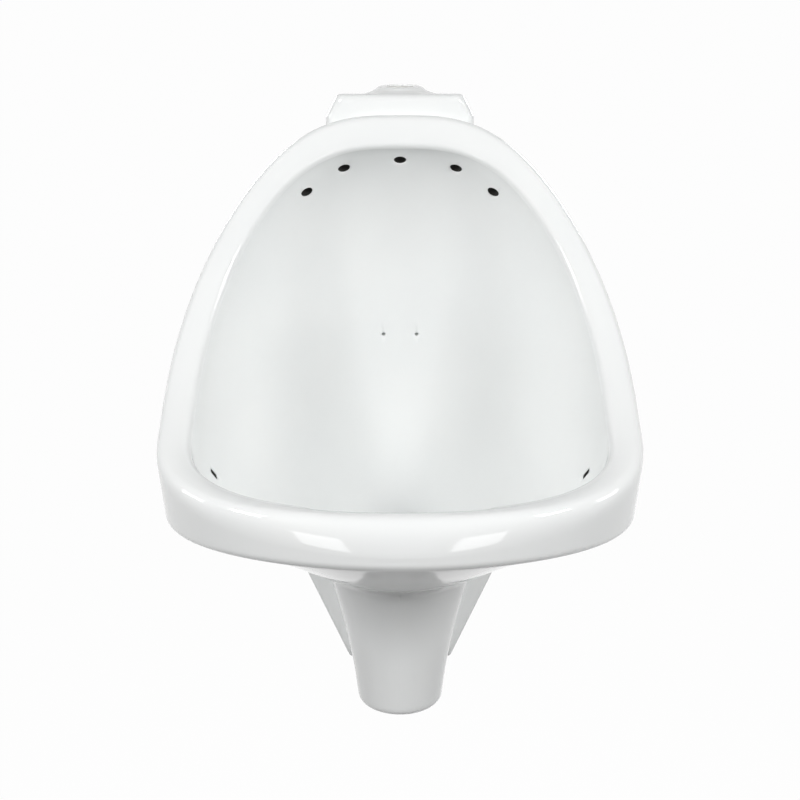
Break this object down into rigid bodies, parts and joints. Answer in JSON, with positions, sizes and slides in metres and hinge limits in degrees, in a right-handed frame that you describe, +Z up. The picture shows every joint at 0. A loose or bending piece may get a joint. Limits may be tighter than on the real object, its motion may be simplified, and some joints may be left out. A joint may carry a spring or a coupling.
{
  "type": "urinal",
  "caption": "Wall-hung china urinal: a deep open bowl with a rolled rim, an arched hood with flush holes, a top inlet box and a hollow outlet neck, hooked on hangers.",
  "frame": {"origin": "on the wall, at the middle of the rectangle of the hanger screw holes", "axes": "+X to the viewer's right, +Y into the wall, +Z up; the bowl opens towards -Y"},
  "size_m": [0.3884, 0.3833, 0.587],
  "materials": {
    "vitreous_china": "high gloss white glaze",
    "chromed_brass": "polished",
    "plain_brass": "turned",
    "stainless_steel": "satin",
    "black_rubber": "matt",
    "pale_rubber": "matt",
    "slip_plastic": "matt"
  },
  "bodies": {
    "wall_fixings": {"hanger_left": "stainless_steel", "hanger_right": "stainless_steel", "hanger_pad_left": "black_rubber", "hanger_pad_right": "black_rubber"},
    "urinal": {"china_body": "vitreous_china", "inlet_seal": "pale_rubber", "waste_body": "chromed_brass", "waste_top_washer": "black_rubber", "waste_bottom_washer": "black_rubber", "waste_slip_ring": "slip_plastic"},
    "backnut": {"waste_backnut": "plain_brass"},
    "strainer": {"strainer_dome": "chromed_brass"},
    "screw": {"strainer_screw": "stainless_steel"}
  },
  "joints": [
    {"name": "lift_off", "type": "slide", "parent": "wall_fixings", "child": "urinal", "axis": [0, 0, 1], "range_m": [0, 0.018]},
    {"name": "backnut_turn", "type": "hinge", "parent": "urinal", "child": "backnut", "pos_m": [0, -0.096, -0.228], "axis": [0, 0, 1], "continuous": true},
    {"name": "strainer_lift", "type": "slide", "parent": "urinal", "child": "strainer", "axis": [0, 0, 1], "range_m": [0, 0.12]},
    {"name": "screw_turn", "type": "hinge", "parent": "strainer", "child": "screw", "pos_m": [0, -0.096, -0.181], "axis": [0, 0, 1], "continuous": true}
  ]
}
